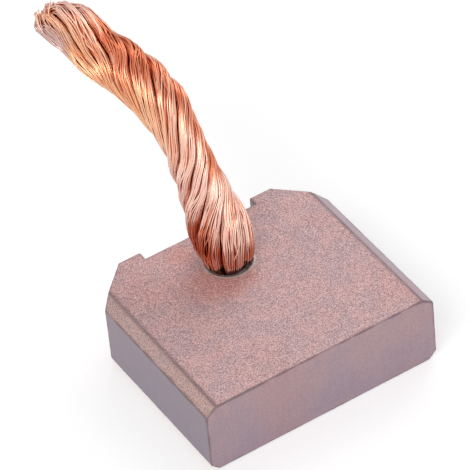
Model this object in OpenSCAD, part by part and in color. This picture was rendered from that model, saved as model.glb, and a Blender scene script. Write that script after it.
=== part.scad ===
// Carbon brush: a pressed copper-graphite block with a stranded copper lead tamped into its top face.
// X runs across the block, -Y points to the running face and +Z up out of the broad face that holds
// the lead. The origin is the middle of the block's flat base.

/* [Block] */
// Width of the block, across the brush box
block_w = 20; // [16:0.1:25]
// Length of the block, from the running face to the back
block_l = 17.2; // [13:0.1:24]
// Thickness of the block, from the base to the top face
block_t = 6.3; // [5:0.1:9]

/* [Block edges] */
// Width of the bevel along the two long top edges
top_bevel_w = 0.95; // [0.3:0.05:1.5]
// Depth of the bevel along the two long top edges
top_bevel_d = 0.7; // [0.3:0.05:1.2]
// Leg of the bevel along the two long base edges
base_bevel = 0.65; // [0.2:0.05:1]
// Width of the cut across each back corner
corner_cut_w = 3.2; // [1:0.1:4]
// Length of the cut across each back corner
corner_cut_l = 3.1; // [1:0.1:5]

/* [Spring seat] */
// Width of each ear that stands beside the spring seat
ear_w = 1.9; // [0.8:0.1:2.5]
// Depth of the spring seat below the tips of the ears
seat_depth = 0.8; // [0.3:0.1:2]

/* [Lead hole] */
// Diameter of the drilled hole that takes the lead
hole_d = 3.7; // [3:0.1:4.6]
// Distance from the back of the block to the middle of the hole
hole_from_back = 4.7; // [4:0.1:8]
// Thickness left under the tip of the drilled hole
hole_floor = 1; // [0.6:0.1:2]
// Included angle of the drill's point
drill_point_angle = 118; // [90:1:140]

/* [Tamped powder] */
// Mean wall of tamped powder between the lead and the hole
powder_wall = 0.35; // [0.25:0.05:0.5]
// How far the lead stands back from the middle of its hole
lead_offset = 0.15; // [0:0.05:0.2]
// Powder left under the end of the lead
powder_floor = 0.3; // [0.1:0.05:0.6]
// Depth of the dish that the tamping tool leaves round the lead
dish_depth = 0.35; // [0.1:0.05:0.6]
// Clearance between the powder and the strands that it grips
grip_clearance = 0.02; // [0.01:0.01:0.05]

/* [Lead] */
// Diameter of the lead past its neck
lead_d = 4.1; // [3.2:0.05:4.8]
// Diameter of the bulge where the strands open just above the hole
bulge_d = 4.65; // [3.4:0.05:5.4]
// Diameter of the neck where the lay is tightest
neck_d = 3.35; // [2.8:0.05:4.2]
// Diameter of the lead near its free end
end_d = 3.85; // [3:0.05:4.8]
// Diameter of the lead at the cut, where the cutter pinched it
cut_d = 3.1; // [2.6:0.05:4.4]
// Length of lead that makes one turn of the strands at the neck
tight_lay = 13; // [12:0.5:30]
// Length of lead that makes one turn of the strands past the neck
lead_lay = 15; // [14:0.5:40]
// Length of lead that makes one turn of the strands at the free end, where they have sprung looser
loose_lay = 42; // [30:1:90]
// Gap between neighbouring strands
strand_gap = 0.09; // [0.06:0.01:0.16]
// Direction in which the first strand leaves the hole, in degrees from +X
first_strand_angle = 27; // [0:1:359]

/* [Hidden] */
OUTER_STRANDS = 6;
STRAND_NAMES = [for (i = [1 : OUTER_STRANDS]) str("lead_strand_", i)];

// Colours
BLOCK_COLOUR = [0.63, 0.5, 0.49];
POWDER_COLOUR = [0.3, 0.28, 0.29];
COPPER_COLOUR = [0.83, 0.5, 0.38];

// Smoothness of the round faces, and how far a cutting shape runs past the face that it cuts
$fn = 64;
OVERCUT = 1;

// Places worked out from the block
back_y = block_l / 2;
running_y = -block_l / 2;
seat_w = block_w - 2 * (corner_cut_w + ear_w);
mouth = [0, back_y - hole_from_back, block_t];

// Drilled hole: a straight wall and the cone of the drill's point
hole_r = hole_d / 2;
drill_point_h = hole_r / tan(drill_point_angle / 2);
hole_depth = block_t - hole_floor - drill_point_h;

// Lead inside the hole, and the point where its axis passes the top face
lead_foot = mouth + [0, lead_offset, 0];
grip_d = hole_d - 2 * powder_wall - 2 * grip_clearance;
buried = hole_depth - powder_floor;

// Route of the lead from its foot to its free end, measured from the foot:
// up out of the hole, then bending over backwards until it lies level
LEAD_ROUTE = [
    [0, 0, 0], [0, 0, 0.7], [0, 0.4, 2], [-0.1, 1, 3.4], [-0.3, 1.5, 4.8],
    [-0.4, 2, 6.2], [-0.6, 2.6, 7.6], [-0.7, 3.2, 9], [-0.8, 4, 10.2], [-0.9, 4.9, 11.3],
    [-1.1, 6, 12.2], [-1.4, 7.3, 12.9], [-1.8, 8.6, 13.4], [-2.2, 10, 13.7], [-2.6, 11.4, 13.8],
    [-2.8, 12.8, 14.1], [-2.9, 14.2, 14.3], [-3.2, 15.6, 14.3], [-3.7, 16.9, 14.1], [-4.1, 17.7, 14]
];
// Diameter of the lead along its route: length of lead above the foot, diameter
DIAMETERS = [
    [-buried, grip_d], [0, grip_d], [0.8, (grip_d + 4 * bulge_d) / 5], [1.8, bulge_d], [3.2, bulge_d],
    [5.8, (bulge_d + neck_d) / 2], [7.4, (2 * neck_d + lead_d) / 3], [10, neck_d], [11, neck_d],
    [13.2, (neck_d + 5 * lead_d) / 6], [16, lead_d], [20, lead_d], [23.5, end_d], [26.5, cut_d], [40, cut_d]
];
// Turn of the strands along the route: length of lead above the foot, degrees per millimetre
straight = 1.5;
tight = 360 / tight_lay;
even = 360 / lead_lay;
loose = 360 / loose_lay;
TURN_RATES = [
    [-buried, straight], [0, straight], [2, loose], [4, (even + loose) / 2], [5, even], [7.5, even],
    [8.5, tight], [10, tight], [12, even], [17.5, even], [20.5, loose], [40, loose]
];
// How much each outer strand is cut short of the end of the route, because the free end was cut askew
END_TRIMS = [0.8, 1.4, 2.6, 2, 0.8, 0.3];
CORE_TRIM = 0.9;

// Length of lead between neighbouring rings of a strand, and corners of each ring
RING_STEP = 0.8;
STRAND_SIDES = 12;
CORE_SIDES = 8;
// How square a strand's section is: 1 is an ellipse, smaller is nearer to a wedge with round corners
SECTION_ROUNDNESS = 0.65;

// ---- Values between stations ----

function smooth(u) = u * u * (3 - 2 * u);

function station_value(stations, s, i = 0) =
    i >= len(stations) - 1 || s <= stations[0][0] ? stations[min(i, len(stations) - 1)][1]
    : s <= stations[i + 1][0]
        ? let (u = (s - stations[i][0]) / (stations[i + 1][0] - stations[i][0]))
          stations[i][1] + (stations[i + 1][1] - stations[i][1]) * smooth(u)
    : station_value(stations, s, i + 1);

// ---- Route of the lead: a smooth curve through its points ----

route = concat(
    [[0, 0, -buried], [0, 0, -buried / 2]],
    LEAD_ROUTE
);

function at(points, i) = points[max(0, min(len(points) - 1, i))];

function curve_point(points, i, u) =
    let (a = at(points, i - 1), b = at(points, i), c = at(points, i + 1), d = at(points, i + 2))
    0.5 * (2 * b + (c - a) * u + (2 * a - 5 * b + 4 * c - d) * u * u + (3 * b - a - 3 * c + d) * u * u * u);

// Fine points on the curve, and how far along it each one lies from the foot
FINE = 8;
fine = [
    for (i = [0 : len(route) - 2], k = [0 : FINE - 1]) curve_point(route, i, k / FINE),
    route[len(route) - 1]
];
fine_steps = [for (i = [1 : len(fine) - 1]) norm(fine[i] - fine[i - 1])];
fine_s = [
    for (i = 0, s = -buried; i < len(fine); s = s + (i < len(fine_steps) ? fine_steps[i] : 0), i = i + 1) s
];
route_end = fine_s[len(fine_s) - 1];

function fine_index(s, low, high) =
    high - low <= 1 ? low
    : let (middle = floor((low + high) / 2))
      fine_s[middle] > s ? fine_index(s, low, middle) : fine_index(s, middle, high);

function centre(s) =
    let (i = fine_index(s, 0, len(fine_s) - 1))
    fine[i] + (fine[i + 1] - fine[i]) * ((s - fine_s[i]) / (fine_s[i + 1] - fine_s[i]));

function unit(v) = v / norm(v);

TANGENT_SPAN = 0.4;
function tangent(s) = unit(centre(min(s + TANGENT_SPAN, route_end)) - centre(max(s - TANGENT_SPAN, -buried)));

// The lead bends nearly in one upright plane, so that plane's normal steadies the frame along it
tip = LEAD_ROUTE[len(LEAD_ROUTE) - 1];
bend_normal = unit([-tip.y, tip.x, 0]);
function side(s) = unit(cross(bend_normal, tangent(s)));
function other_side(s) = cross(tangent(s), side(s));

// ---- Stations along the lead ----

// One ring lies at the foot, so that the lead keeps its width all the way down the hole
buried_count = ceil(buried / RING_STEP);
free_count = ceil(route_end / RING_STEP);
rings = concat(
    [for (i = [0 : buried_count - 1]) -buried + buried * i / buried_count],
    [for (i = [0 : free_count]) route_end * i / free_count]
);
ring_count = len(rings) - 1;

// Turn of the strands at each ring, added up from ring to ring
function ring_turn(i) = station_value(TURN_RATES, (rings[i] + rings[i + 1]) / 2) * (rings[i + 1] - rings[i]);
turns = [for (i = 0, a = 0; i <= ring_count; a = a + (i < ring_count ? ring_turn(i) : 0), i = i + 1) a];

function turn_at(s) = lookup(s, [for (i = [0 : ring_count]) [rings[i], turns[i]]]);

// The rings of a strand that ends at s_end: the shared rings, and one at its own end
function strand_rings(s_end) = concat([for (s = rings) if (s < s_end - RING_STEP / 2) s], [s_end]);

// ---- Sections ----

function place(s, radius, angle) =
    lead_foot + centre(s) + radius * (cos(angle) * side(s) + sin(angle) * other_side(s));

function rounded(v) = sign(v) * pow(abs(v), SECTION_ROUNDNESS);

// An outer strand fills its share of the ring round the core, less half a gap on every side but the outer
function strand_ring(s, angle) =
    let (
        outer = station_value(DIAMETERS, s) / 2,
        inner = outer / 3 + strand_gap / 2,
        middle = (outer + inner) / 2,
        half = (outer - inner) / 2
    )
    [
        for (k = [0 : STRAND_SIDES - 1])
            let (
                t = 360 * k / STRAND_SIDES,
                radius = middle + half * rounded(sin(t)),
                spread = 180 / OUTER_STRANDS - asin(strand_gap / 2 / radius)
            )
            place(s, radius, angle + turn_at(s) + spread * rounded(cos(t)))
    ];

function core_ring(s) =
    let (radius = station_value(DIAMETERS, s) / 6 - strand_gap / 2)
    [for (k = [0 : CORE_SIDES - 1]) place(s, radius, turn_at(s) + 360 * k / CORE_SIDES)];

// ---- Shapes ----

// A closed solid through a row of rings with the same number of corners
module loft(ring_points) {
    sides = len(ring_points[0]);
    last = len(ring_points) - 1;
    points = [for (ring = ring_points) each ring];
    walls = [
        for (i = [0 : last - 1], k = [0 : sides - 1])
            let (a = i * sides + k, b = i * sides + (k + 1) % sides)
            each [[a, a + sides, b + sides], [a, b + sides, b]]
    ];
    start_cap = [[for (k = [0 : sides - 1]) k]];
    end_cap = [[for (k = [sides - 1 : -1 : 0]) last * sides + k]];
    polyhedron(points = points, faces = concat(walls, start_cap, end_cap));
}

// The block seen from above: square at the running face, cut corners and a spring seat at the back
module block_outline() {
    half_w = block_w / 2;
    ear_out = half_w - corner_cut_w;
    polygon([
        [-half_w, running_y], [half_w, running_y],
        [half_w, back_y - corner_cut_l], [ear_out, back_y],
        [seat_w / 2, back_y], [seat_w / 2, back_y - seat_depth],
        [-seat_w / 2, back_y - seat_depth], [-seat_w / 2, back_y],
        [-ear_out, back_y], [-half_w, back_y - corner_cut_l]
    ]);
}

// The block seen along its length: bevelled along the long top edges, and less along the base edges
module block_section() {
    half_w = block_w / 2;
    polygon([
        [-half_w + base_bevel, 0], [half_w - base_bevel, 0],
        [half_w, base_bevel], [half_w, block_t - top_bevel_d],
        [half_w - top_bevel_w, block_t], [-half_w + top_bevel_w, block_t],
        [-half_w, block_t - top_bevel_d], [-half_w, base_bevel]
    ]);
}

// The drilled hole from its mouth down, with room above the mouth for cutting
module drilled_hole(above = 0) {
    translate(mouth - [0, 0, hole_depth])
        cylinder(h = hole_depth + above, r = hole_r);
    translate(mouth - [0, 0, hole_depth + drill_point_h])
        cylinder(h = drill_point_h, r1 = 0, r2 = hole_r);
}

// ---- Pieces ----

module brush_block() {
    color(BLOCK_COLOUR)
        difference() {
            intersection() {
                linear_extrude(height = block_t)
                    block_outline();
                translate([0, back_y, 0])
                    rotate([90, 0, 0])
                        linear_extrude(height = block_l)
                            block_section();
            }
            drilled_hole(above = OVERCUT);
        }
}

module tamped_powder() {
    bore_r = grip_d / 2 + grip_clearance;
    color(POWDER_COLOUR)
        difference() {
            drilled_hole();
            translate(lead_foot - [0, 0, buried])
                cylinder(h = buried + OVERCUT, r = bore_r);
            translate(mouth - [0, 0, dish_depth])
                cylinder(h = dish_depth, r1 = hole_r - powder_wall, r2 = hole_r);
        }
}

module lead_core_strand() {
    color(COPPER_COLOUR)
        loft([for (s = strand_rings(route_end - CORE_TRIM)) core_ring(s)]);
}

module lead_strand(number) {
    angle = first_strand_angle + 360 * (number - 1) / OUTER_STRANDS;
    color(COPPER_COLOUR)
        loft([for (s = strand_rings(route_end - END_TRIMS[number - 1])) strand_ring(s, angle)]);
}

brush_block();
tamped_powder();
lead_core_strand();
for (number = [1 : OUTER_STRANDS]) {
    lead_strand(number);
}
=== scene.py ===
"""Carbon brush: the looks of a pressed copper-graphite block with a stranded copper lead.

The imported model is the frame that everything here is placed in. Lengths are in metres, +Z is up, and
-Y points to the running face. The block and the tamped powder are finished from their own meshes, and
the laid strands of the lead are drawn wire by wire along the lead's route.
"""
import logging
import math
from dataclasses import dataclass, field
from enum import Enum

import bpy
import numpy as np
from mathutils import Matrix, Vector


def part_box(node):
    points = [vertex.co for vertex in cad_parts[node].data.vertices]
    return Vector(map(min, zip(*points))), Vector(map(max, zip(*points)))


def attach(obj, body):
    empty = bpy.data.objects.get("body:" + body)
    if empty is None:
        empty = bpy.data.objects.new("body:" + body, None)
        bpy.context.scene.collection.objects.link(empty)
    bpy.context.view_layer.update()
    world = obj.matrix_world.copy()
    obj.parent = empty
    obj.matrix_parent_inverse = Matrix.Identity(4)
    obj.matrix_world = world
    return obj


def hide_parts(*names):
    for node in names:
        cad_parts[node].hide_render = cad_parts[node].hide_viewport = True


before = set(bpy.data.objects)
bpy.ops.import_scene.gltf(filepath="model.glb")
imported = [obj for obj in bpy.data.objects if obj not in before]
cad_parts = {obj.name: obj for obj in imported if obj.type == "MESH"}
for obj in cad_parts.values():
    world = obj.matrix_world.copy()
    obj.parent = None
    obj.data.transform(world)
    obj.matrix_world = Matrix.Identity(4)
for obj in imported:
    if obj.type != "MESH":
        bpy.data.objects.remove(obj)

LOG = logging.getLogger("carbon_brush")
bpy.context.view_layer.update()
BODY = "root"

Point = tuple[float, float, float]
Colour = tuple[float, float, float, float]
Stations = list[tuple[float, float]]


def colour(red: float, green: float, blue: float) -> Colour:
    """An opaque colour in linear light."""
    return (red, green, blue, 1.0)


# ---- Building meshes ----


def unit(vectors: np.ndarray) -> np.ndarray:
    """The vectors scaled to length one along their last axis."""
    return vectors / np.linalg.norm(vectors, axis=-1, keepdims=True)


def eased(values: np.ndarray, low: float, high: float) -> np.ndarray:
    """Runs smoothly from 0 where the values are at low to 1 where they are at high."""
    u = np.clip((np.asarray(values) - low) / (high - low), 0, 1)
    return u * u * (3 - 2 * u)


def between(stations: Stations, s: np.ndarray) -> np.ndarray:
    """Values between stations, eased so that none shows as a corner."""
    places, values = (np.array(column, float) for column in zip(*stations))
    i = np.clip(np.searchsorted(places, s, side="right") - 1, 0, len(places) - 2)
    share = (s - places[i]) / (places[i + 1] - places[i])
    return values[i] + (values[i + 1] - values[i]) * eased(share, 0, 1)


def wander(
    s: np.ndarray, owner: np.ndarray, amount: float, lengths: tuple[float, ...], seed: int
) -> np.ndarray:
    """A smooth random drift along each line, the same for lines with the same owner.

    Args:
        s: Length along each line, shaped lines x stations.
        owner: One number for each line.
        amount: Typical size of the drift.
        lengths: The lengths of its waves.
        seed: Fixes the drift.

    Returns:
        The drift, shaped as s.
    """
    owners, index = np.unique(owner, return_inverse=True)
    chance = np.random.default_rng(seed)
    drift = np.zeros_like(s)
    for length in lengths:
        phase = chance.uniform(0, 2 * math.pi, len(owners))[index][:, None]
        scale = chance.uniform(0.75, 1.3, len(owners))[index][:, None]
        drift += np.sin(2 * math.pi * s / (length * scale) + phase)
    return amount * drift / math.sqrt(len(lengths))


class Tubes:
    """Gathers closed tubes, swept along lines, into one mesh."""

    def __init__(self, sides: int) -> None:
        """Starts an empty set of tubes.

        Args:
            sides: Corners of each tube's ring.
        """
        self.sides = sides
        self.points: list[np.ndarray] = []
        self.faces: list[list[int]] = []
        self.marks: dict[str, list[np.ndarray]] = {}
        self.count = 0

    def sweep(self, lines: np.ndarray, radii: np.ndarray, **marks: np.ndarray) -> None:
        """Sweeps a round section along each of many lines.

        Args:
            lines: The tubes' centre lines, shaped tubes x stations x 3.
            radii: Their radius at each station, shaped tubes x stations.
            **marks: Numbers for the material to read, each shaped tubes x stations.
        """
        along = unit(np.gradient(lines, axis=1))
        hint = np.zeros_like(along)
        hint[..., 0] = 1.0
        across = unit(np.cross(along, hint))
        other = np.cross(along, across)
        turn = 2 * math.pi * np.arange(self.sides) / self.sides
        rings = (
            lines[:, :, None, :]
            + radii[:, :, None, None] * np.cos(turn)[None, None, :, None] * across[:, :, None, :]
            + radii[:, :, None, None] * np.sin(turn)[None, None, :, None] * other[:, :, None, :]
        )
        self.loft(rings, **marks)

    def loft(self, rings: np.ndarray, **marks: np.ndarray) -> None:
        """Adds closed tubes through rings of points, shaped tubes x stations x sides x 3."""
        tubes, stations, sides, _ = rings.shape
        numbers = self.count + np.arange(tubes * stations * sides).reshape(tubes, stations, sides)
        low, high = numbers[:, :-1], numbers[:, 1:]
        walls = np.stack([low, np.roll(low, -1, 2), np.roll(high, -1, 2), high], -1).reshape(-1, 4)
        self.points.append(rings.reshape(-1, 3))
        self.faces += walls.tolist() + numbers[:, 0, ::-1].tolist() + numbers[:, -1].tolist()
        self.count += numbers.size
        for name, values in marks.items():
            self.marks.setdefault(name, []).append(np.repeat(values.ravel(), sides))

    def make(self, name: str) -> bpy.types.Object:
        """Makes the smooth-shaded mesh object, with its marks as attributes."""
        mesh = bpy.data.meshes.new(name)
        mesh.from_pydata(np.vstack(self.points).tolist(), [], self.faces)
        mesh.polygons.foreach_set("use_smooth", [True] * len(mesh.polygons))
        for mark, values in self.marks.items():
            layer = mesh.attributes.new(mark, "FLOAT", "POINT")
            layer.data.foreach_set("value", np.concatenate(values).astype(np.float32))
        mesh.update()
        made = bpy.data.objects.new(name, mesh)
        bpy.context.scene.collection.objects.link(made)
        return made


# ---- Building materials ----


def place(tree: bpy.types.NodeTree, kind: str, inputs: dict | None = None, **settings) -> bpy.types.Node:
    """Adds a node to a tree.

    Args:
        tree: The tree that it goes into.
        kind: The node's type name.
        inputs: Values or output sockets for its inputs, by name or number.
        **settings: The node's own settings.

    Returns:
        The new node.
    """
    node = tree.nodes.new(kind)
    for key, value in settings.items():
        setattr(node, key, value)
    for key, value in (inputs or {}).items():
        if isinstance(value, bpy.types.NodeSocket):
            tree.links.new(value, node.inputs[key])
        else:
            node.inputs[key].default_value = value
    return node


def attribute(tree: bpy.types.NodeTree, name: str) -> bpy.types.NodeSocket:
    """The value of a mesh attribute."""
    return place(tree, "ShaderNodeAttribute", attribute_name=name).outputs["Fac"]


def combine(tree: bpy.types.NodeTree, operation: str, first, second) -> bpy.types.NodeSocket:
    """A sum, product or other operation on two values or sockets, kept between 0 and 1."""
    node = place(tree, "ShaderNodeMath", {0: first, 1: second}, operation=operation, use_clamp=True)
    return node.outputs[0]


def blend(tree: bpy.types.NodeTree, share, first, second) -> bpy.types.NodeSocket:
    """A mix of two colours: the first where the share is 0, and the second where it is 1."""
    return place(tree, "ShaderNodeMix", {0: share, 6: first, 7: second}, data_type="RGBA").outputs[2]


def stretch(
    tree: bpy.types.NodeTree, value: bpy.types.NodeSocket, low: float, high: float, to: float = 1.0
) -> bpy.types.NodeSocket:
    """Runs smoothly from 0 where the value is at low to the last number where it is at high."""
    inputs = {"Value": value, "From Min": low, "From Max": high, "To Min": 0.0, "To Max": to}
    return place(tree, "ShaderNodeMapRange", inputs, interpolation_type="SMOOTHSTEP").outputs["Result"]


def noise(tree: bpy.types.NodeTree, scale, where=None, detail: float = 3.0) -> bpy.types.NodeSocket:
    """Soft noise on object coordinates, or on other coordinates."""
    where = where or place(tree, "ShaderNodeTexCoord").outputs["Object"]
    inputs = {"Vector": where, "Scale": scale, "Detail": detail}
    return place(tree, "ShaderNodeTexNoise", inputs).outputs["Fac"]


def new_material(name: str) -> tuple[bpy.types.Material, bpy.types.NodeTree, bpy.types.Node]:
    """Makes an empty node material and returns it with its tree and its Principled shader."""
    material = bpy.data.materials.new(name)
    material.use_nodes = True
    tree = material.node_tree
    tree.nodes.clear()
    shader = tree.nodes.new("ShaderNodeBsdfPrincipled")
    output = tree.nodes.new("ShaderNodeOutputMaterial")
    tree.links.new(shader.outputs["BSDF"], output.inputs["Surface"])
    return material, tree, shader


class SharedEffects:
    """Patterns that several finishes use, each a node group that is built once."""

    def __init__(self) -> None:
        """Builds the groups."""
        self.grain = self._grain()
        self.mottle = self._mottle()
        self.drag_lines = self._drag_lines()
        self.edge_and_crease_shade = self._edge_and_crease_shade()

    @staticmethod
    def _group(name: str, inputs: dict[str, float], outputs: list[str]) -> tuple:
        """Starts a group with number inputs and outputs, and returns it with its two end nodes."""
        tree = bpy.data.node_groups.new(name, "ShaderNodeTree")
        for label, value in inputs.items():
            socket = tree.interface.new_socket(name=label, in_out="INPUT", socket_type="NodeSocketFloat")
            socket.default_value = value
        for label in outputs:
            tree.interface.new_socket(name=label, in_out="OUTPUT", socket_type="NodeSocketFloat")
        return tree, tree.nodes.new("NodeGroupInput"), tree.nodes.new("NodeGroupOutput")

    def _grain(self) -> bpy.types.NodeTree:
        """Fine pressed grains: dark specks, pale specks that are partly painted glints, and a height for
        bump.
        """
        tree, given, made = self._group("grain", {"Scale": 6000.0}, ["Dark", "PaleAndGlint", "Height"])
        fine = noise(tree, given.outputs["Scale"], detail=4.0)
        tree.links.new(stretch(tree, fine, 0.5, 0.36), made.inputs["Dark"])
        tree.links.new(stretch(tree, fine, 0.52, 0.66), made.inputs["PaleAndGlint"])
        tree.links.new(fine, made.inputs["Height"])
        return tree

    def _mottle(self) -> bpy.types.NodeTree:
        """Cloudy patches with soft borders."""
        tree, given, made = self._group("mottle", {"Scale": 500.0}, ["Mask"])
        cloud = noise(tree, given.outputs["Scale"], detail=5.0)
        tree.links.new(stretch(tree, cloud, 0.42, 0.62), made.inputs["Mask"])
        return tree

    def _drag_lines(self) -> bpy.types.NodeTree:
        """Faint upright lines that the die wall leaves as the block is pushed out of it."""
        tree, given, made = self._group("drag_lines", {"Scale": 5000.0}, ["Mask"])
        where = place(tree, "ShaderNodeTexCoord").outputs["Object"]
        squeeze = place(tree, "ShaderNodeMapping", {"Vector": where, "Scale": (1.0, 1.0, 0.05)})
        lines = noise(tree, given.outputs["Scale"], squeeze.outputs["Vector"], 2.0)
        tree.links.new(stretch(tree, lines, 0.4, 0.65), made.inputs["Mask"])
        return tree

    def _edge_and_crease_shade(self) -> bpy.types.NodeTree:
        """Painted shade: a thin broken dark line along the edges and a soft one in the creases, from the
        attributes of both.
        """
        tree, given, made = self._group("edge_and_crease_shade", {"Breaks": 0.4}, ["Mask"])
        cloud = stretch(tree, noise(tree, 600.0), 0.3, 0.7)
        shortened = combine(tree, "MULTIPLY", cloud, given.outputs["Breaks"])
        line = combine(tree, "SUBTRACT", attribute(tree, "edge"), shortened)
        thin = stretch(tree, line, 0.0, 0.6)
        soft = stretch(tree, attribute(tree, "crease_shade"), 0.0, 1.0, 0.8)
        tree.links.new(combine(tree, "MAXIMUM", thin, soft), made.inputs["Mask"])
        return tree


@dataclass(frozen=True)
class CopperWireFinish:
    """Fine bare copper wires: bright where they lie outside, with red oxide and painted shade deep between
    them.
    """

    bright: Colour = colour(0.97, 0.65, 0.54)
    # A painted reflection: the golden tint on the upper lead's left side.
    golden_reflection: Colour = colour(0.95, 0.54, 0.32)
    # The two low-tone reds below are partly red oxide and partly painted shade, with its red
    # inter-reflection, between the wires.
    oxide_and_shade_red: Colour = colour(0.72, 0.22, 0.11)
    dark: Colour = colour(0.3, 0.035, 0.014)
    grey: Colour = colour(0.6, 0.42, 0.41)
    roughness: float = 0.26
    metallic: float = 1.0

    def material(self) -> bpy.types.Material:
        """The wires' material, which reads the attributes tone, warm and grey."""
        material, tree, shader = new_material("copper_wire")
        outer = blend(tree, attribute(tree, "warm"), self.bright, self.golden_reflection)
        tone = attribute(tree, "tone")
        inner = blend(tree, stretch(tree, tone, 0.0, 0.45), self.dark, self.oxide_and_shade_red)
        toned = blend(tree, stretch(tree, tone, 0.4, 0.9), inner, outer)
        dulled = blend(tree, attribute(tree, "grey"), toned, self.grey)
        tree.links.new(dulled, shader.inputs["Base Color"])
        shader.inputs["Metallic"].default_value = self.metallic
        shader.inputs["Roughness"].default_value = self.roughness
        return material


@dataclass(frozen=True)
class PressedFinish:
    """Pressed and sintered copper-graphite, speckled with dark graphite and with paler copper that is
    partly painted glints.

    Each share says how strongly its effect shows, from 0 to 1. The low share is for the cooler tint
    towards the base.
    """

    name: str
    copper: Colour
    graphite: Colour
    cool: Colour
    # pale: paler copper grains, partly painted glints.
    pale: Colour
    # edge: the colour of the painted shade along the edges and in the creases.
    edge: Colour
    grain_scale: float = 11000.0
    grain_share: float = 0.85
    pale_and_glint_share: float = 0.8
    mottle_scale: float = 600.0
    mottle_share: float = 0.55
    low_share: float = 0.0
    drag_share: float = 0.0
    edge_shade_share: float = 0.7
    edge_breaks: float = 0.45
    stain: Colour = colour(0.66, 0.27, 0.22)
    # rim: the hole's burnished rim, partly a painted highlight.
    rim: Colour = colour(0.85, 0.82, 0.8)
    roughness: float = 0.55
    relief: float = 0.5
    relief_height: float = 3e-5
    metallic: float = 0.25
    rim_shine: float = 0.5
    low_from: float = 6e-3
    low_to: float = 0.5e-3

    def material(self, effects: SharedEffects) -> bpy.types.Material:
        """The finish as a material, which reads the attributes edge, crease, stain and rim."""
        material, tree, shader = new_material(self.name)
        grain = place(tree, "ShaderNodeGroup", {"Scale": self.grain_scale}, node_tree=effects.grain)
        mottle = place(tree, "ShaderNodeGroup", {"Scale": self.mottle_scale}, node_tree=effects.mottle)
        cloudy = combine(tree, "MULTIPLY", mottle.outputs["Mask"], self.mottle_share)
        if self.low_share:
            where = place(tree, "ShaderNodeTexCoord").outputs["Object"]
            height = place(tree, "ShaderNodeSeparateXYZ", {"Vector": where}).outputs["Z"]
            low = stretch(tree, height, self.low_from, self.low_to, self.low_share)
            cloudy = combine(tree, "ADD", cloudy, low)
        base = blend(tree, cloudy, self.copper, self.cool)
        stained = blend(tree, attribute(tree, "stain"), base, self.stain)
        dark = combine(tree, "MULTIPLY", grain.outputs["Dark"], self.grain_share)
        specked = blend(tree, dark, stained, self.graphite)
        # Pale specks: paler copper grains, partly painted glints.
        pale = combine(tree, "MULTIPLY", grain.outputs["PaleAndGlint"], self.pale_and_glint_share)
        specked = blend(tree, pale, specked, self.pale)
        if self.drag_share:
            lines = place(tree, "ShaderNodeGroup", node_tree=effects.drag_lines)
            share = combine(tree, "MULTIPLY", lines.outputs["Mask"], self.drag_share)
            specked = blend(tree, share, specked, self.graphite)
        # Painted shade along the edges and in the creases.
        line = place(tree, "ShaderNodeGroup", {"Breaks": self.edge_breaks}, node_tree=effects.edge_and_crease_shade)
        lined = combine(tree, "MULTIPLY", line.outputs["Mask"], self.edge_shade_share)
        edged = blend(tree, lined, specked, self.edge)
        # The rim: more metallic where burnished, and painted pale as a highlight.
        rim = attribute(tree, "rim")
        tree.links.new(blend(tree, rim, edged, self.rim), shader.inputs["Base Color"])
        shine = combine(tree, "MULTIPLY", rim, self.rim_shine)
        tree.links.new(combine(tree, "ADD", shine, self.metallic), shader.inputs["Metallic"])
        shader.inputs["Roughness"].default_value = self.roughness
        inputs = {"Height": grain.outputs["Height"], "Strength": self.relief}
        bump = place(tree, "ShaderNodeBump", {**inputs, "Distance": self.relief_height})
        tree.links.new(bump.outputs["Normal"], shader.inputs["Normal"])
        return material


# ---- The lead ----


@dataclass(frozen=True)
class WireRing:
    """A ring of wires in a strand's section.

    The fill is 0 at the strand's middle and 1 at its surface. The drift and the lift are how far the wires
    wander round the strand, in radians, and in and out of it. The reach is how far back they run from the
    cut end, or 0 for the strand's whole length.
    """

    wires: int
    fill: float
    drift: float
    lift: float
    tone: float
    reach: float = 0.0


class Side(Enum):
    """Sides of the lead, as directions: its front faces up over the block's front left corner."""

    FRONT = (-0.35, -0.64, 0.68)
    LEFT = (-0.86, -0.04, -0.5)
    RIGHT = (0.86, 0.04, 0.5)
    FRONT_LEFT = (-0.84, -0.4, 0.25)
    FRONT_RIGHT = (0.35, -0.55, 0.78)


@dataclass(frozen=True)
class PaintedLightAndGreyPatch:
    """A patch on one side of the lead, between two lengths along it.

    The tone is how much darker it is, or brighter if negative: darker patches are painted shade and
    brighter ones painted highlights. The grey makes the wires greyer. The sharpness narrows the patch to
    the wires that face straight to its side.
    """

    start: float
    end: float
    side: Side
    tone: float = 0.0
    grey: float = 0.0
    sharpness: float = 0.3
    soft: float = 0.7e-3

    def share(self, s: np.ndarray, outward: np.ndarray) -> np.ndarray:
        """How much of the patch shows on wires at a length, on the side that they face."""
        begun = eased(s, self.start - self.soft, self.start + self.soft)
        along = begun * eased(s, self.end + self.soft, self.end - self.soft)
        facing = outward @ unit(np.array(self.side.value, float))
        return along * eased(facing, self.sharpness - 0.3, self.sharpness + 0.5)


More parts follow.
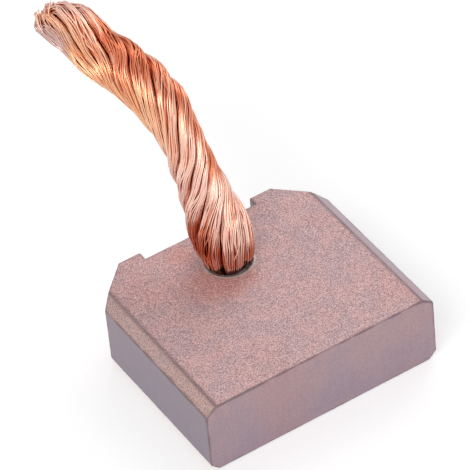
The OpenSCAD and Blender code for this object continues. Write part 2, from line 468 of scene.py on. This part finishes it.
@dataclass
class Lead:
    """The stranded copper lead: six strands laid round a seventh, each a bunch of fine wires.

    Lengths along the lead are measured from its foot, where its axis passes the block's top face, and
    the route's points from there too. The straight turn is in degrees per metre, and each lay is the
    length of lead in which the strands go once round. The trims, folds and scatter shape the cut end.
    """

    foot_offset: float = 0.15e-3
    route: list[Point] = field(
        default_factory=lambda: [
            (0, 0, 0), (0, 0, 0.0007), (0, 0.0004, 0.002), (-0.0001, 0.001, 0.0034),
            (-0.0003, 0.0015, 0.0048), (-0.0004, 0.002, 0.0062), (-0.0006, 0.0026, 0.0076),
            (-0.0007, 0.0032, 0.009), (-0.0008, 0.004, 0.0102), (-0.0009, 0.0049, 0.0113),
            (-0.0011, 0.006, 0.0122), (-0.0014, 0.0073, 0.0129), (-0.0018, 0.0086, 0.0134),
            (-0.0022, 0.01, 0.0137), (-0.0026, 0.0114, 0.0138), (-0.0028, 0.0128, 0.0141),
            (-0.0029, 0.0142, 0.0143), (-0.0032, 0.0156, 0.0143), (-0.0037, 0.0169, 0.0141),
            (-0.0041, 0.0177, 0.014),
        ]
    )
    grip_diameter: float = 2.96e-3
    bulge_diameter: float = 4.65e-3
    neck_diameter: float = 3.35e-3
    lead_diameter: float = 4.1e-3
    end_diameter: float = 3.85e-3
    cut_diameter: float = 3.1e-3
    tight_lay: float = 13e-3
    lead_lay: float = 15e-3
    loose_lay: float = 42e-3
    straight_turn: float = 1500.0
    outer_strands: int = 6
    first_strand_angle: float = 27.0
    strand_gap: float = 0.09e-3
    end_trims: tuple[float, ...] = (0.8e-3, 1.3e-3, 2.0e-3, 1.5e-3, 0.7e-3, 0.3e-3)
    core_trim: float = 0.9e-3
    roundness: float = 0.76
    fold_length: float = 1.6e-3
    end_folds: tuple[float, ...] = (0.7e-3, 1.0e-3, 1.1e-3, 1.0e-3, 0.8e-3, 0.5e-3)
    end_swirl: float = 0.9
    cut_scatter: float = 0.25e-3
    lay_skew: float = 0.5
    skew_zone: tuple[float, float, float, float] = (9.5e-3, 11.5e-3, 15.5e-3, 18e-3)
    wire_diameter: float = 0.125e-3
    wire_sides: int = 5
    heart_sides: int = 16
    heart_fill: float = 0.78
    # Painted shade: the tone of the dark tube inside each strand.
    heart_shade_tone: float = 0.25
    core_wires: int = 14
    # Painted shade: the core strand in the lead's middle is drawn dark.
    core_shade_tone: float = 0.3
    clumps: int = 6
    most_fill: float = 1.06
    tone_scatter: float = 0.17
    # The rings under the outer one have lower tones: painted shade where they lie beneath it.
    rings: tuple[WireRing, ...] = (
        WireRing(wires=42, fill=1.0, drift=0.08, lift=0.02, tone=0.88),
        WireRing(wires=38, fill=0.89, drift=0.08, lift=0.03, tone=0.6),
        WireRing(wires=8, fill=1.04, drift=0.16, lift=0.02, tone=0.92),
        WireRing(wires=24, fill=0.62, drift=0.1, lift=0.05, tone=0.75, reach=3.2e-3),
        WireRing(wires=12, fill=0.33, drift=0.1, lift=0.05, tone=0.75, reach=3.2e-3),
    )
    # Painted shade and painted highlights along the lead, and a greyer cut end.
    painted_light_and_grey_patches: tuple[PaintedLightAndGreyPatch, ...] = (
        PaintedLightAndGreyPatch(start=-1e-3, end=1.4e-3, side=Side.RIGHT, tone=0.35),
        PaintedLightAndGreyPatch(start=1.2e-3, end=4.6e-3, side=Side.LEFT, tone=0.6),
        PaintedLightAndGreyPatch(start=2.2e-3, end=4.8e-3, side=Side.FRONT_LEFT, tone=-0.15),
        PaintedLightAndGreyPatch(start=5.6e-3, end=7.0e-3, side=Side.FRONT_LEFT, tone=-0.3),
        PaintedLightAndGreyPatch(start=6.8e-3, end=9.6e-3, side=Side.RIGHT, tone=0.5),
        PaintedLightAndGreyPatch(start=8.0e-3, end=9.4e-3, side=Side.FRONT_LEFT, tone=-0.35),
        PaintedLightAndGreyPatch(start=10e-3, end=21.5e-3, side=Side.RIGHT, tone=0.4, sharpness=0.1),
        PaintedLightAndGreyPatch(start=14.6e-3, end=17.8e-3, side=Side.FRONT, tone=0.3),
        PaintedLightAndGreyPatch(start=18.2e-3, end=19.6e-3, side=Side.FRONT_RIGHT, tone=0.45),
        PaintedLightAndGreyPatch(start=21.4e-3, end=27e-3, side=Side.LEFT, grey=0.85, sharpness=0.4),
        PaintedLightAndGreyPatch(start=22.4e-3, end=27e-3, side=Side.FRONT_RIGHT, grey=0.5, sharpness=0.5),
    )
    seed: int = 7

    def __post_init__(self) -> None:
        """Works out the centre line, its steady frame and the strands' turn along it."""
        low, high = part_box("tamped_powder")
        mouth = Vector(((low[0] + high[0]) / 2, (low[1] + high[1]) / 2, high[2]))
        self.foot = np.array(mouth) + np.array([0, self.foot_offset, 0])
        self.buried = float(mouth.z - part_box("lead_core_strand")[0][2])
        self._trace()
        self._turn_strands()
        self.chance = np.random.default_rng(self.seed)

    def _trace(self) -> None:
        """Runs a smooth curve through the route's points, with finely spaced stations."""
        route = np.array([(0, 0, -self.buried), (0, 0, -self.buried / 2), *self.route], float)
        ends = np.vstack([route[:1], route, route[-1:]])
        u = (np.arange(16) / 16)[:, None]
        pieces = []
        for a, b, c, d in zip(ends, ends[1:], ends[2:], ends[3:]):
            cubic = (3 * b - a - 3 * c + d) * u**3
            pieces.append(0.5 * (2 * b + (c - a) * u + (2 * a - 5 * b + 4 * c - d) * u**2 + cubic))
        self.line = np.vstack([*pieces, route[-1:]]) + self.foot
        steps = np.linalg.norm(np.diff(self.line, axis=0), axis=1)
        self.s = np.concatenate([[0.0], np.cumsum(steps)]) - self.buried
        self.end = float(self.s[-1])
        tip = np.array(self.route[-1], float)
        bend_normal = unit(np.array([-tip[1], tip[0], 0.0]))
        tangent = unit(np.gradient(self.line, axis=0))
        self.side = unit(np.cross(bend_normal, tangent))
        self.other = np.cross(tangent, self.side)

    def _turn_strands(self) -> None:
        """Adds up the strands' turn, in radians, along the lead."""
        tight, even, loose = 360 / self.tight_lay, 360 / self.lead_lay, 360 / self.loose_lay
        straight = self.straight_turn
        stations = [
            (-self.buried, straight), (0, straight), (2e-3, loose), (4e-3, (even + loose) / 2),
            (5e-3, even), (7.5e-3, even), (8.5e-3, tight), (10e-3, tight), (12e-3, even),
            (17.5e-3, even), (20.5e-3, loose), (40e-3, loose),
        ]
        rate = between(stations, self.s)
        steps = np.diff(self.s) * (rate[1:] + rate[:-1]) / 2
        self.turn = np.radians(np.concatenate([[0.0], np.cumsum(steps)]))

    def diameter(self, s: np.ndarray) -> np.ndarray:
        """The lead's diameter at each length along it."""
        grip, bulge, neck = self.grip_diameter, self.bulge_diameter, self.neck_diameter
        full, end, cut = self.lead_diameter, self.end_diameter, self.cut_diameter
        stations = [
            (-self.buried, grip), (0, grip), (0.35e-3, (2 * grip + 3 * bulge) / 5),
            (0.8e-3, (grip + 5 * bulge) / 6), (1.8e-3, bulge), (3.2e-3, bulge),
            (5.8e-3, (bulge + neck) / 2), (7.4e-3, (2 * neck + full) / 3), (10e-3, neck),
            (11e-3, neck), (13.2e-3, (neck + 5 * full) / 6), (16e-3, full), (20e-3, full),
            (23.5e-3, end), (26.5e-3, cut), (40e-3, cut),
        ]
        return between(stations, s)

    def at(self, s: np.ndarray, radius: np.ndarray, angle: np.ndarray) -> np.ndarray:
        """Points at a radius and an angle about the lead's axis.

        The lay is uneven round the lead where it was bent: steeper on its right side than on its left.

        Args:
            s: Length along the lead.
            radius: Distance from its axis.
            angle: Angle about its axis before the strands' turn, in radians.

        Returns:
            The points.
        """
        outward = self.outward(s, angle)
        begins, full, fades, ends = self.skew_zone
        uneven = self.lay_skew * eased(s, begins, full) * eased(s, ends, fades)
        carried = s + uneven * radius * (outward @ unit(np.array(Side.FRONT.value)))
        return self._along(self.line, carried) + np.asarray(radius)[..., None] * outward

    def outward(self, s: np.ndarray, angle: np.ndarray) -> np.ndarray:
        """Directions away from the lead's axis at an angle about it, in radians."""
        turned = angle + np.interp(s, self.s, self.turn)
        side, other = self._along(self.side, s), self._along(self.other, s)
        return np.cos(turned)[..., None] * side + np.sin(turned)[..., None] * other

    def _along(self, rows: np.ndarray, s: np.ndarray) -> np.ndarray:
        """Rows of the centre line's table, read off at each length."""
        return np.stack([np.interp(s, self.s, rows[:, k]) for k in range(3)], -1)

    def section(self, s: np.ndarray, fill: np.ndarray, clock: np.ndarray) -> tuple[np.ndarray, np.ndarray]:
        """Places in a strand's section.

        Args:
            s: Length along the lead.
            fill: 0 at the strand's middle and 1 at its surface.
            clock: Angle about the strand's own middle, in radians.

        Returns:
            The radius from the lead's axis, and the angle from the strand's own, in radians.
        """
        outer = (self.diameter(s) - self.wire_diameter) / 2
        inner = outer / 3 + self.strand_gap / 2
        up, across = np.sin(clock), np.cos(clock)
        up = np.sign(up) * np.abs(up) ** self.roundness * fill
        across = np.sign(across) * np.abs(across) ** self.roundness * fill
        radius = (outer + inner) / 2 + (outer - inner) / 2 * up
        room = (self.strand_gap + self.wire_diameter) / 2
        spread = math.pi / self.outer_strands - np.arcsin(np.clip(room / radius, 0, 0.5))
        return radius, spread * across

    def stations(self) -> np.ndarray:
        """Lengths along the lead at which every wire has a ring: close together at the flare."""
        below = np.linspace(-self.buried, -0.3e-3, 4)
        flare = np.arange(0, 2.4e-3, 0.3e-3)
        return np.concatenate([below, flare, np.linspace(2.4e-3, self.end, 74)])

    def strand_angle(self, number: int) -> float:
        """Angle at which an outer strand leaves the hole, in radians."""
        return math.radians(self.first_strand_angle + 360 / self.outer_strands * (number - 1))

    def wire_lengths(self, count: int, end: float, reach: float = 0.0) -> np.ndarray:
        """Places of the rings of wires that are cut at about one place, along the lead.

        Args:
            count: How many wires.
            end: Where they are cut.
            reach: How far back they run, or 0 for the lead's whole length.

        Returns:
            The places, shaped wires x stations.
        """
        ends = end - self.chance.uniform(0, self.cut_scatter, (count, 1))
        if reach:
            return ends - reach * np.linspace(1, 0, 10)
        base = self.stations()
        return np.where(base > 0, base * ends / self.end, base)

    def colouring(self, s: np.ndarray, outward: np.ndarray, tone: np.ndarray) -> dict[str, np.ndarray]:
        """The marks that the wires' material reads.

        Args:
            s: Length along the lead.
            outward: The direction that each place faces.
            tone: 0 for dark red and 1 for bright copper; partly random oxide, partly painted shade.

        Returns:
            The marks tone, warm and grey.
        """
        # Painted reflection: a warm golden tint on the upper lead's left side.
        left = eased(outward @ np.array(Side.LEFT.value), -0.4, 0.5)
        warm = eased(s, 8e-3, 14e-3) * (0.35 + 0.65 * left)
        grey = np.zeros_like(s)
        # Painted shade, painted highlights and grey, from the patches.
        for patch in self.painted_light_and_grey_patches:
            share = patch.share(s, outward)
            tone = tone * (1 - patch.tone * share)
            grey = np.maximum(grey, patch.grey * share)
        return {"tone": np.clip(tone, 0, 1), "warm": warm, "grey": grey}

    def swirl(self, s: np.ndarray) -> np.ndarray:
        """How far each wire swings sideways over the cut end, in radians."""
        last = s[:, -1:]
        reach = self.end_swirl * self.chance.uniform(-0.5, 1.0, (len(s), 1))
        return reach * eased(s, last - self.fold_length, last) ** 2

    def fold(self, s: np.ndarray, number: int) -> np.ndarray:
        """How far each wire of a strand leans in over the cut end, where the cutter pinched it."""
        last = s[:, -1:]
        share = eased(s, last - self.fold_length, last)
        depth = self.end_folds[number - 1] * self.chance.uniform(0.2, 1.0, (len(s), 1))
        inward = -self.outward(s, np.full(s.shape, self.strand_angle(number)))
        return (depth * share**2)[..., None] * inward

    def add_wires(self, tubes: Tubes, number: int, ring: WireRing) -> None:
        """Adds one ring of an outer strand's wires.

        Args:
            tubes: Takes the wires.
            number: The strand's number, from 1.
            ring: The ring's wires.
        """
        count, seed = ring.wires, 100 * number + ring.wires
        s = self.wire_lengths(count, self.end - self.end_trims[number - 1], ring.reach)
        start = 2 * math.pi * (np.arange(count) + self.chance.uniform(-0.25, 0.25, count)) / count
        owner = np.floor(start / (2 * math.pi) * self.clumps).astype(int)
        clock = start[:, None] + wander(s, owner, 0.025, (5e-3, 11e-3), seed)
        clock = clock + wander(s, np.arange(count), ring.drift, (3e-3, 7e-3), seed + 1)
        fill = ring.fill + wander(s, owner, 0.02, (4e-3, 8e-3), seed + 2)
        fill = fill + wander(s, np.arange(count), ring.lift, (2e-3, 5e-3), seed + 3)
        radius, turned = self.section(s, np.minimum(fill, self.most_fill), clock)
        angle = self.strand_angle(number) + turned + self.swirl(s)
        lines = self.at(s, radius, angle) + self.fold(s, number)
        depth = 1 - radius / ((self.diameter(s) - self.wire_diameter) / 2)
        tone = ring.tone + self.chance.normal(0, self.tone_scatter, (count, 1))
        tone = tone + wander(s, owner, 0.1, (6e-3,), seed + 4)
        tone = tone + wander(s, np.arange(count), 0.1, (4e-3,), seed + 5)
        # Painted shade: darker deep inside the strand, between the wires, and near the foot where the lead
        # enters the hole.
        tone = tone * (1 - 0.7 * eased(depth, 0.08, 0.45)) * (0.7 + 0.3 * eased(s, 0.0, 2.0e-3))
        radii = self.wire_diameter / 2 * self.chance.uniform(0.92, 1.08, (count, 1)) + 0 * s
        tubes.sweep(lines, radii, **self.colouring(s, self.outward(s, angle), tone))

    def add_heart(self, tubes: Tubes, number: int) -> None:
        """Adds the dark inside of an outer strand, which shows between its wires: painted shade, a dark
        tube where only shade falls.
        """
        base = self.stations()
        end = self.end - self.end_trims[number - 1] - self.fold_length
        s = np.where(base > 0, base * end / self.end, base)[:, None] + np.zeros(self.heart_sides)
        clock = 2 * math.pi * np.arange(self.heart_sides) / self.heart_sides + 0 * s
        radius, turned = self.section(s, self.heart_fill, clock)
        rings = self.at(s, radius, self.strand_angle(number) + turned)
        dark = np.full(len(s), self.heart_shade_tone)
        tubes.loft(rings[None], tone=dark, warm=0 * dark, grey=0 * dark)

    def build_strand(self, number: int) -> bpy.types.Object:
        """Draws one outer strand, wire by wire."""
        tubes = Tubes(self.wire_sides)
        for ring in self.rings:
            self.add_wires(tubes, number, ring)
        self.add_heart(tubes, number)
        return tubes.make(f"lead_wires_{number}")

    def build_core(self) -> bpy.types.Object:
        """Draws the strand that the others are laid round."""
        tubes = Tubes(self.wire_sides)
        wires = np.arange(self.core_wires)
        s = self.wire_lengths(self.core_wires, self.end - self.core_trim)
        clock = 2 * math.pi * wires[:, None] / self.core_wires + wander(s, wires, 0.05, (5e-3,), 3)
        radius = self.diameter(s) / 6 - self.strand_gap / 2 - self.wire_diameter / 2
        tone = np.full(s.shape, self.core_shade_tone)
        lines = self.at(s, radius, clock)
        radii = np.full(s.shape, self.wire_diameter / 2)
        tubes.sweep(lines, radii, **self.colouring(s, self.outward(s, clock), tone))
        return tubes.make("lead_wires_core")

    def build(self, finish: CopperWireFinish) -> None:
        material = finish.material()
        numbers = range(1, self.outer_strands + 1)
        pieces = {f"lead_strand_{number}": self.build_strand(number) for number in numbers}
        pieces["lead_core_strand"] = self.build_core()
        for node, piece in pieces.items():
            piece.data.materials.append(material)
            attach(piece, BODY)
            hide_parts(node)
        longest = pieces.pop(f"lead_strand_{1 + int(np.argmin(self.end_trims))}")
        LOG.info("lead: %d strands, %.1f mm", len(pieces) + 1, 1e3 * (self.end + self.buried))


# ---- The block and the powder ----


class FaceKind(Enum):
    """The kinds of face on the block, by how they are made and worn and which way they face, each with its
    material's place. The flanks are darker, with a bluish tint that is a painted reflection.
    """

    PRESSED = 0
    FLANK = 1
    END = 2
    BEVEL = 3
    RUBBED_BEVEL = 4


@dataclass
class PressedPiece:
    """A piece pressed from powder: its CAD shape with softened edges and a slightly uneven skin."""

    node: str
    name: str
    edge_radius: float
    cell: float
    chip_size: float
    chip_depth: float
    skin_size: float
    skin_depth: float
    edge_reach: float = 0.2e-3
    crease_reach: float = 0.34e-3
    edge_angle: float = 20.0
    edge_rings: int = 3
    merge_distance: float = 1e-6

    def build(self) -> bpy.types.Object:
        """Builds the piece and puts it in place of its CAD node."""
        self.copy_node()
        self.find_edges()
        self.soften_edges()
        self.cut_cells()
        self.mark_edges()
        self.roughen("chips", self.chip_size, self.chip_depth, "edge_zone")
        self.roughen("skin", self.skin_size, self.skin_depth, "")
        bpy.ops.object.shade_smooth()
        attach(self.piece, BODY)
        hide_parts(self.node)
        return self.piece

    def copy_node(self) -> None:
        """Copies the CAD node's mesh, joins its loose triangles and merges its flat faces."""
        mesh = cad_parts[self.node].data.copy()
        self.piece = bpy.data.objects.new(self.name, mesh)
        bpy.context.scene.collection.objects.link(self.piece)
        bpy.ops.object.select_all(action="DESELECT")
        self.piece.select_set(True)
        bpy.context.view_layer.objects.active = self.piece
        bpy.ops.object.mode_set(mode="EDIT")
        bpy.ops.mesh.select_all(action="SELECT")
        bpy.ops.mesh.remove_doubles(threshold=self.merge_distance)
        bpy.ops.mesh.dissolve_limited(angle_limit=math.radians(1))
        bpy.ops.object.mode_set(mode="OBJECT")

    def find_edges(self) -> None:
        """Keeps the ends of the sharp edges, for the wear and the painted shade along them."""
        mesh = self.piece.data
        normals: dict[int, list[Vector]] = {}
        for face in mesh.polygons:
            for loop in face.loop_indices:
                normals.setdefault(mesh.loops[loop].edge_index, []).append(face.normal.copy())
        sharp = [
            edge for edge in mesh.edges
            if len(normals[edge.index]) == 2
            and math.degrees(normals[edge.index][0].angle(normals[edge.index][1])) > self.edge_angle
        ]
        self.edge_ends = np.array([[mesh.vertices[v].co for v in edge.vertices] for edge in sharp])

    def soften_edges(self) -> None:
        """Rounds the sharp edges."""
        bpy.ops.object.modifier_add(type="BEVEL")
        bevel = self.piece.modifiers[-1]
        bevel.width, bevel.segments = self.edge_radius, self.edge_rings
        bevel.limit_method, bevel.angle_limit = "ANGLE", math.radians(self.edge_angle)
        bpy.ops.object.modifier_apply(modifier=bevel.name)

    def cut_cells(self) -> None:
        """Cuts the faces into small cells, so that the skin can be uneven."""
        corners = self.corners()
        low, high = corners.min(axis=0), corners.max(axis=0)
        bpy.ops.object.mode_set(mode="EDIT")
        for axis in range(3):
            across = [float(k == axis) for k in range(3)]
            cells = round((high[axis] - low[axis]) / self.cell)
            for share in np.arange(1, cells) / cells:
                bpy.ops.mesh.select_all(action="SELECT")
                bpy.ops.mesh.bisect(plane_co=(low + share * (high - low)).tolist(), plane_no=across)
        bpy.ops.object.mode_set(mode="OBJECT")

    def corners(self) -> np.ndarray:
        """The piece's corners, one row each."""
        rows = np.zeros(3 * len(self.piece.data.vertices))
        self.piece.data.vertices.foreach_get("co", rows)
        return rows.reshape(-1, 3)

    def set_mark(self, name: str, values: np.ndarray) -> None:
        """Stores one number for each corner, for the material to read."""
        layer = self.piece.data.attributes.new(name, "FLOAT", "POINT")
        layer.data.foreach_set("value", np.asarray(values, np.float32))

    def mark_edges(self) -> None:
        """Marks how near each corner is to a sharp edge, and to one of the long edges of the top.

        The first mark is the attribute edge and a vertex group, and the second the attribute crease.
        """
        corners = self.corners()
        edge, crease_shade = np.zeros(len(corners)), np.zeros(len(corners))
        top = corners[:, 2].max()
        for start, end in self.edge_ends:
            run = end - start
            share = np.clip((corners - start) @ run / (run @ run), 0, 1)
            near = np.linalg.norm(corners - start - share[:, None] * run, axis=1)
            edge = np.maximum(edge, 1 - near / self.edge_reach)
            lengthways = abs(run[1]) > 0.99 * np.linalg.norm(run)
            if lengthways and min(start[2], end[2]) > top - self.edge_reach:
                crease_shade = np.maximum(crease_shade, 1 - near / self.crease_reach)
        self.set_mark("edge", edge)
        self.set_mark("crease_shade", crease_shade)
        zone = self.piece.vertex_groups.new(name="edge_zone")
        for index in np.flatnonzero(edge > 0.1):
            zone.add([int(index)], float(edge[index]), "REPLACE")

    def roughen(self, name: str, size: float, depth: float, zone: str) -> None:
        """Pushes the surface in and out by a soft pattern.

        Args:
            name: The pattern's name.
            size: Its size.
            depth: How far it moves the surface, in all.
            zone: The vertex group that it is kept to, or nothing for the whole surface.
        """
        pattern = bpy.data.textures.new(f"{self.name}_{name}", "CLOUDS")
        pattern.noise_scale = size
        pattern.noise_depth = 2
        bpy.ops.object.modifier_add(type="DISPLACE")
        push = self.piece.modifiers[-1]
        push.texture, push.texture_coords, push.strength = pattern, "LOCAL", -depth
        push.mid_level, push.vertex_group = 0.45, zone
        bpy.ops.object.modifier_apply(modifier=push.name)


@dataclass(frozen=True)
class Stain:
    """A reddish patch on the top face, with its middle, its reach and its strength."""

    x: float
    y: float
    reach: float
    strength: float


@dataclass
class Brush:
    """The pressed block and the powder that is tamped round its lead."""

    rim_width: float = 0.2e-3
    level_from: float = 0.93
    sloped_from: float = 0.25
    stains: tuple[Stain, ...] = (
        Stain(x=-3.0e-3, y=2.4e-3, reach=2.6e-3, strength=0.55),
        Stain(x=-1.6e-3, y=1.5e-3, reach=2.2e-3, strength=0.75),
        Stain(x=0.2e-3, y=1.3e-3, reach=1.6e-3, strength=0.6),
        Stain(x=-2.6e-3, y=6.4e-3, reach=1.6e-3, strength=0.6),
        Stain(x=-7.4e-3, y=4.6e-3, reach=3.2e-3, strength=0.3),
        Stain(x=8.2e-3, y=-6.5e-3, reach=3.6e-3, strength=0.2),
        Stain(x=-3.5e-3, y=-8.0e-3, reach=4.0e-3, strength=0.15),
    )
    block: PressedPiece = field(
        default_factory=lambda: PressedPiece(
            "brush_block", "block_skin", edge_radius=0.11e-3, cell=0.15e-3, chip_size=0.3e-3,
            chip_depth=0.05e-3, skin_size=0.9e-3, skin_depth=0.012e-3,
        )
    )
    powder: PressedPiece = field(
        default_factory=lambda: PressedPiece(
            "tamped_powder", "powder_skin", edge_radius=0.02e-3, cell=0.09e-3, chip_size=0.2e-3,
            chip_depth=0.02e-3, skin_size=0.15e-3, skin_depth=0.07e-3,
        )
    )

    def finishes(self) -> dict[FaceKind, PressedFinish]:
        """The block's finish for each kind of face."""
        # The colour of the painted shade along the block's edges.
        edge_shade_colour = colour(0.16, 0.1, 0.11)
        return {
            FaceKind.PRESSED: PressedFinish(
                "pressed_face", copper=colour(0.62, 0.38, 0.375), graphite=colour(0.28, 0.18, 0.185),
                cool=colour(0.49, 0.355, 0.38), pale=colour(0.84, 0.58, 0.56), edge=edge_shade_colour,
                grain_share=1.0, pale_and_glint_share=0.9, mottle_share=0.7,
            ),
            # The flanks: a darker copy of the die-wall finish, with a bluish tint that is a painted
            # reflection.
            FaceKind.FLANK: PressedFinish(
                "die_wall_flank", copper=colour(0.37, 0.3, 0.345), graphite=colour(0.27, 0.21, 0.25),
                cool=colour(0.35, 0.3, 0.37), pale=colour(0.42, 0.34, 0.38), edge=edge_shade_colour,
                grain_share=0.15, pale_and_glint_share=0.1, mottle_scale=250.0, mottle_share=0.3, relief=0.1,
                drag_share=0.12, low_share=0.5,
            ),
            FaceKind.END: PressedFinish(
                "running_face", copper=colour(0.57, 0.385, 0.405), graphite=colour(0.35, 0.25, 0.31),
                cool=colour(0.43, 0.34, 0.42), pale=colour(0.62, 0.46, 0.48), edge=edge_shade_colour,
                grain_share=0.4, pale_and_glint_share=0.35, mottle_scale=350.0, mottle_share=0.35, relief=0.2,
                drag_share=0.1, low_share=0.5,
            ),
            FaceKind.BEVEL: PressedFinish(
                "pressed_bevel", copper=colour(0.6, 0.385, 0.355), graphite=colour(0.22, 0.16, 0.16),
                cool=colour(0.47, 0.36, 0.35), pale=colour(0.8, 0.58, 0.53), edge=edge_shade_colour,
                grain_share=0.75, pale_and_glint_share=0.75, relief=0.8,
            ),
            FaceKind.RUBBED_BEVEL: PressedFinish(
                "rubbed_bevel", copper=colour(0.56, 0.44, 0.47), graphite=colour(0.36, 0.28, 0.31),
                cool=colour(0.5, 0.41, 0.46), pale=colour(0.68, 0.56, 0.59), edge=edge_shade_colour,
                grain_share=0.35, pale_and_glint_share=0.35, mottle_scale=400.0, relief=0.3, edge_breaks=0.2,
            ),
        }

    def sort_faces(self, piece: bpy.types.Object) -> None:
        """Gives each face of the block the slot of its kind, by the way that it faces."""
        for face in piece.data.polygons:
            across, along, up = (abs(part) for part in face.normal)
            rubbed = min(face.normal.x, face.normal.z) > 0
            if up > self.level_from:
                kind = FaceKind.PRESSED
            elif up > self.sloped_from and across > along:
                kind = FaceKind.RUBBED_BEVEL if rubbed else FaceKind.BEVEL
            elif across > along:
                kind = FaceKind.FLANK
            else:
                kind = FaceKind.END
            face.material_index = kind.value

    def mark_mouth(self, piece: PressedPiece) -> None:
        """Marks the rim of the hole, burnished and painted pale as a highlight, and the reddish stains
        beside it.
        """
        low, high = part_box("tamped_powder")
        middle = np.array([(low[0] + high[0]) / 2, (low[1] + high[1]) / 2])
        corners = piece.corners()
        away = np.linalg.norm(corners[:, :2] - middle, axis=1) - (high[0] - low[0]) / 2
        below = high[2] - corners[:, 2]
        at_mouth = (below < 2 * self.rim_width) & (away > -0.1 * self.rim_width)
        piece.set_mark("rim", np.where(at_mouth, 1 - eased(away, 0.5 * self.rim_width, self.rim_width), 0))
        stain = np.zeros(len(corners))
        for spot in self.stains:
            away = np.linalg.norm(corners[:, :2] - (spot.x, spot.y), axis=1)
            stain = np.maximum(stain, spot.strength * (1 - eased(away, 0.1 * spot.reach, spot.reach)))
        piece.set_mark("stain", stain)

    def build(self, effects: SharedEffects) -> None:
        """Builds and dresses the block and the powder."""
        block = self.block.build()
        self.mark_mouth(self.block)
        block.data.materials.clear()
        finishes = self.finishes()
        for kind in FaceKind:
            block.data.materials.append(finishes[kind].material(effects))
        self.sort_faces(block)
        LOG.info("block: %d faces", len(block.data.polygons))
        powder = self.powder.build()
        powder.data.materials.clear()
        # The powder's near-white specks are painted glints, made pale against the shade in the hole.
        finish = PressedFinish(
            "contact_powder", copper=colour(0.42, 0.38, 0.39), graphite=colour(0.06, 0.05, 0.055),
            cool=colour(0.55, 0.52, 0.53), pale=colour(0.95, 0.92, 0.92), edge=colour(0.2, 0.17, 0.18),
            grain_share=0.9, pale_and_glint_share=0.9, mottle_scale=2500.0, edge_shade_share=0.2, relief=1.0,
            metallic=0.6, roughness=0.4,
        )
        powder.data.materials.append(finish.material(effects))
        LOG.info("powder: %d faces", len(powder.data.polygons))


# ---- The stage ----


@dataclass
class Studio:
    """A pale floor, soft lamps and the camera."""

    camera_place: Point = (-0.11415, -0.20535, 0.23106)
    ahead: Point = (0.35202, 0.64091, -0.68214)
    right: Point = (0.83799, -0.54046, -0.07535)
    lens: float = 335.4
    sensor: float = 36.0
    floor_side: float = 3.0
    floor_grey: float = 0.8
    floor_glow: float = 0.42
    surround_light: float = 0.5

    def add_camera(self) -> None:
        """Adds the camera and makes it the scene's."""
        data = bpy.data.cameras.new("camera")
        data.lens, data.sensor_width = self.lens, self.sensor
        data.clip_start, data.clip_end = 0.01, 10.0
        camera = bpy.data.objects.new("camera", data)
        bpy.context.scene.collection.objects.link(camera)
        ahead = Vector(self.ahead).normalized()
        right = Vector(self.right).normalized()
        axes = Matrix((right, right.cross(ahead), -ahead)).transposed().to_4x4()
        camera.matrix_world = Matrix.Translation(self.camera_place) @ axes
        bpy.context.scene.camera = camera

    def add_lamp(self, name: str, place_at: Point, side: float, power: float, tint: Point) -> None:
        """Adds a square soft lamp that faces the block."""
        data = bpy.data.lights.new(name, "AREA")
        data.shape, data.size, data.energy, data.color = "SQUARE", side, power, tint
        lamp = bpy.data.objects.new(name, data)
        lamp.location = place_at
        aim = Vector((0, 0, 0.01)) - Vector(place_at)
        lamp.rotation_euler = aim.to_track_quat("-Z", "Y").to_euler()
        bpy.context.scene.collection.objects.link(lamp)

    def background_share(self, tree: bpy.types.NodeTree) -> bpy.types.NodeSocket:
        """1 for the rays that see the background: from the camera, off metal and through glass."""
        path = place(tree, "ShaderNodeLightPath")
        seen = combine(tree, "MAXIMUM", path.outputs["Is Camera Ray"], path.outputs["Is Glossy Ray"])
        return combine(tree, "MAXIMUM", seen, path.outputs["Is Transmission Ray"])

    def add_world(self) -> None:
        """A white surround that lights the object softly."""
        world = bpy.data.worlds.new("surround")
        bpy.context.scene.world = world
        world.use_nodes = True
        tree = world.node_tree
        tree.nodes.clear()
        inputs = {"Value": self.background_share(tree), "To Min": self.surround_light, "To Max": 1.0}
        strength = place(tree, "ShaderNodeMapRange", inputs).outputs["Result"]
        shade = place(tree, "ShaderNodeBackground", {"Color": colour(1, 1, 1), "Strength": strength})
        output = place(tree, "ShaderNodeOutputWorld")
        tree.links.new(shade.outputs[0], output.inputs["Surface"])

    def add_floor(self) -> None:
        """A pale floor that shows white and keeps the object's shadow."""
        bpy.ops.mesh.primitive_plane_add(size=self.floor_side, location=(0, 0, 0))
        floor = bpy.context.object
        floor.name = "floor"
        material, tree, shader = new_material("pale_floor")
        shader.inputs["Base Color"].default_value = colour(*(3 * [self.floor_grey]))
        shader.inputs["Roughness"].default_value = 0.9
        shader.inputs["Specular IOR Level"].default_value = 0.0
        glow = combine(tree, "MULTIPLY", self.background_share(tree), self.floor_glow)
        shader.inputs["Emission Color"].default_value = colour(1, 1, 1)
        tree.links.new(glow, shader.inputs["Emission Strength"])
        floor.data.materials.append(material)

    def build(self) -> None:
        """Sets up the whole stage."""
        bpy.context.scene.view_settings.view_transform = "Standard"
        self.add_camera()
        self.add_world()
        self.add_floor()
        self.add_lamp("key_lamp", (-0.45, -0.3, 0.55), 0.35, 1.6, (1, 1, 1))
        self.add_lamp("back_lamp", (0.4, 0.35, 0.5), 0.4, 1.0, (0.96, 0.97, 1))
        LOG.info("studio: camera, floor and two lamps")


def main() -> None:
    """Builds the stage, the lead and the brush."""
    logging.basicConfig(level=logging.INFO, format="%(name)s %(message)s")
    bpy.ops.object.select_all(action="DESELECT")
    Studio().build()
    Lead().build(CopperWireFinish())
    Brush().build(SharedEffects())


if __name__ == "__main__":
    main()
